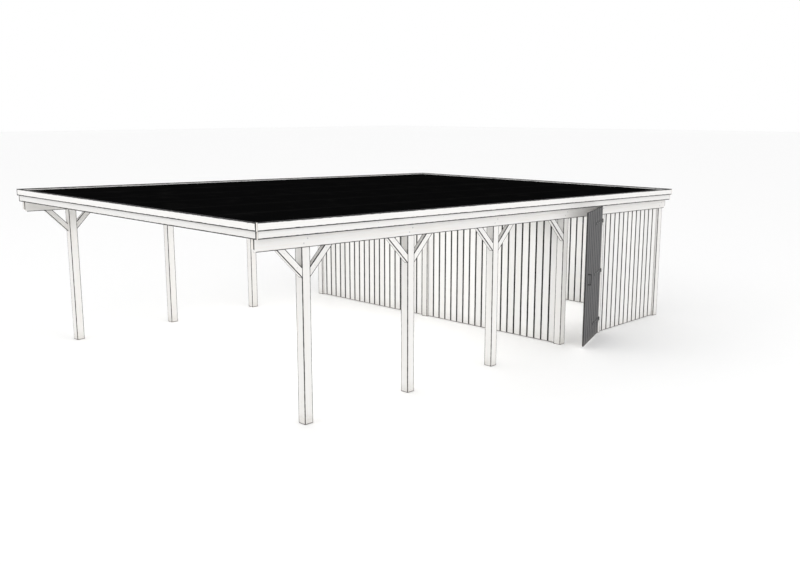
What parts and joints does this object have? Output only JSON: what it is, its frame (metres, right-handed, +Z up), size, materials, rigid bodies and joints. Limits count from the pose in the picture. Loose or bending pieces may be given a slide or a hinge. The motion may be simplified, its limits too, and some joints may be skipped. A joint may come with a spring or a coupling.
{
  "type": "double carport with store",
  "caption": "Flat-roofed timber double carport on square posts with slanted braces, and a boarded store with a side door across its back end.",
  "frame": {"origin": "middle of the foot of the post in the store's front wall, at ground level", "axes": "+X towards the store door's side, +Y from the car entrance to the back wall, +Z up"},
  "size_m": [6.2845, 9.0001, 2.4428],
  "materials": {
    "frame_timber": "planed, painted off-white",
    "roof_timber": "planed, bare",
    "roofing": "matt sheet",
    "fascia_boards": "planed, painted off-white",
    "wall_boards": "planed, painted off-white",
    "door_boards": "planed, painted off-white",
    "steel": "galvanised"
  },
  "bodies": {
    "carport": {"right_post_1": "frame_timber", "right_post_2": "frame_timber", "right_post_3": "frame_timber", "right_post_4": "frame_timber", "right_post_5": "frame_timber", "left_post_1": "frame_timber", "left_post_2": "frame_timber", "left_post_3": "frame_timber", "left_post_4": "frame_timber", "left_post_5": "frame_timber", "front_wall_post": "frame_timber", "back_wall_post": "frame_timber", "door_post": "frame_timber", "right_beam": "frame_timber", "left_beam": "frame_timber", "right_braces_1": "frame_timber", "right_braces_2": "frame_timber", "right_braces_3": "frame_timber", "right_brace_4": "frame_timber", "left_braces_1": "frame_timber", "left_braces_2": "frame_timber", "left_braces_3": "frame_timber", "left_brace_4": "frame_timber", "rafters": "roof_timber", "roof_boarding": "roof_timber", "roofing": "roofing", "lower_fascia_front": "fascia_boards", "lower_fascia_back": "fascia_boards", "lower_fascia_left": "fascia_boards", "lower_fascia_right": "fascia_boards", "upper_fascia_front": "fascia_boards", "upper_fascia_back": "fascia_boards", "upper_fascia_left": "fascia_boards", "upper_fascia_right": "fascia_boards", "front_wall_left": "wall_boards", "front_wall_right": "wall_boards", "back_wall_left": "wall_boards", "back_wall_right": "wall_boards", "left_wall": "wall_boards", "right_wall": "wall_boards", "hinge_hooks": "steel"},
    "door": {"door_leaf": "door_boards", "door_ledges": "door_boards", "hinge_straps": "steel", "door_pull": "steel"}
  },
  "joints": [
    {"name": "door_hinge", "type": "hinge", "parent": "carport", "child": "door", "pos_m": [2.9325, 0.98405, 0], "axis": [0, 0, 1], "range_deg": [-20, 80]}
  ]
}
